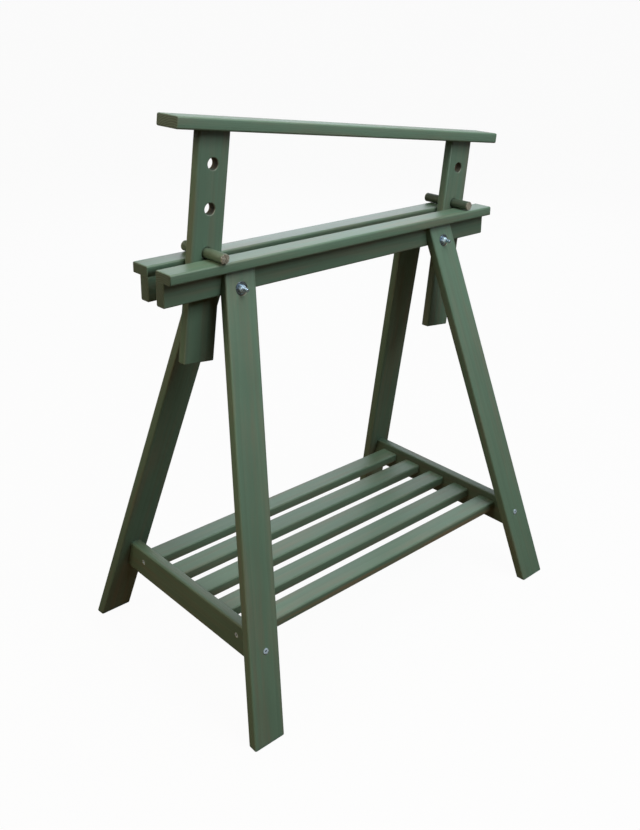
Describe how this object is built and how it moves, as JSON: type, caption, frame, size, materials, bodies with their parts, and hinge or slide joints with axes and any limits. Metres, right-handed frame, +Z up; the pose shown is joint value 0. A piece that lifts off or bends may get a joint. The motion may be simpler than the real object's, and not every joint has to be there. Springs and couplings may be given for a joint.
{
  "type": "wooden trestle",
  "caption": "Painted wooden trestle with splayed legs, a slatted shelf and a top bar on posts, raised, lowered or tilted by loose pegs in rows of holes.",
  "frame": {"origin": "on the floor, under the middle of the whole part's bounding box as stored, with the top bar sloping down to the right", "axes": "+X along the rails to the right, +Y from the nut side to the rear, +Z up"},
  "size_m": [0.7357, 0.459, 0.9031],
  "materials": {
    "green_paint": "semi-matt grey-green paint over fine-grained softwood",
    "peg_wood": "thinly painted round pegs with sawn ends",
    "bare_wood": "bare hardwood dowels, hidden in their joints",
    "zinc_steel": "bright zinc plating"
  },
  "bodies": {
    "stand": {"cap_front": "green_paint", "cap_rear": "green_paint", "web_front": "green_paint", "web_rear": "green_paint", "leg_front_left": "green_paint", "leg_front_right": "green_paint", "leg_rear_left": "green_paint", "leg_rear_right": "green_paint", "bolt_left": "zinc_steel", "bolt_right": "zinc_steel", "nut_left": "zinc_steel", "nut_right": "zinc_steel", "washer_front_left": "zinc_steel", "washer_front_right": "zinc_steel", "washer_rear_left": "zinc_steel", "washer_rear_right": "zinc_steel", "spacer_left": "zinc_steel", "spacer_right": "zinc_steel", "shelf_rail_left": "green_paint", "shelf_rail_right": "green_paint", "slat_1": "green_paint", "slat_2": "green_paint", "slat_3": "green_paint", "slat_4": "green_paint", "slat_5": "green_paint", "slat_1_left_screw": "zinc_steel", "slat_1_right_screw": "zinc_steel", "slat_5_left_screw": "zinc_steel", "slat_5_right_screw": "zinc_steel", "slat_2_left_dowel": "bare_wood", "slat_2_right_dowel": "bare_wood", "slat_3_left_dowel": "bare_wood", "slat_3_right_dowel": "bare_wood", "slat_4_left_dowel": "bare_wood", "slat_4_right_dowel": "bare_wood", "leg_screw_front_left": "zinc_steel", "leg_screw_front_right": "zinc_steel", "leg_screw_rear_left": "zinc_steel", "leg_screw_rear_right": "zinc_steel"},
    "left_peg": {"peg_left": "peg_wood"},
    "top_frame": {"top_bar": "green_paint", "post_left": "green_paint", "post_right": "green_paint", "post_dowel_left_1": "bare_wood", "post_dowel_left_2": "bare_wood", "post_dowel_right_1": "bare_wood", "post_dowel_right_2": "bare_wood"},
    "right_peg": {"peg_right": "peg_wood"}
  },
  "joints": [
    {"name": "bar_lift", "type": "slide", "parent": "stand", "child": "left_peg", "axis": [0, 0, 1], "range_m": [0, 0.1]},
    {"name": "bar_tilt", "type": "hinge", "parent": "left_peg", "child": "top_frame", "pos_m": [-0.27372, 0, 0.7003], "axis": [0, -1, 0], "range_deg": [0, 6.78]},
    {"name": "right_peg_pull", "type": "slide", "parent": "top_frame", "child": "right_peg", "axis": [0, -1, 0], "range_m": [0, 0.11]}
  ]
}
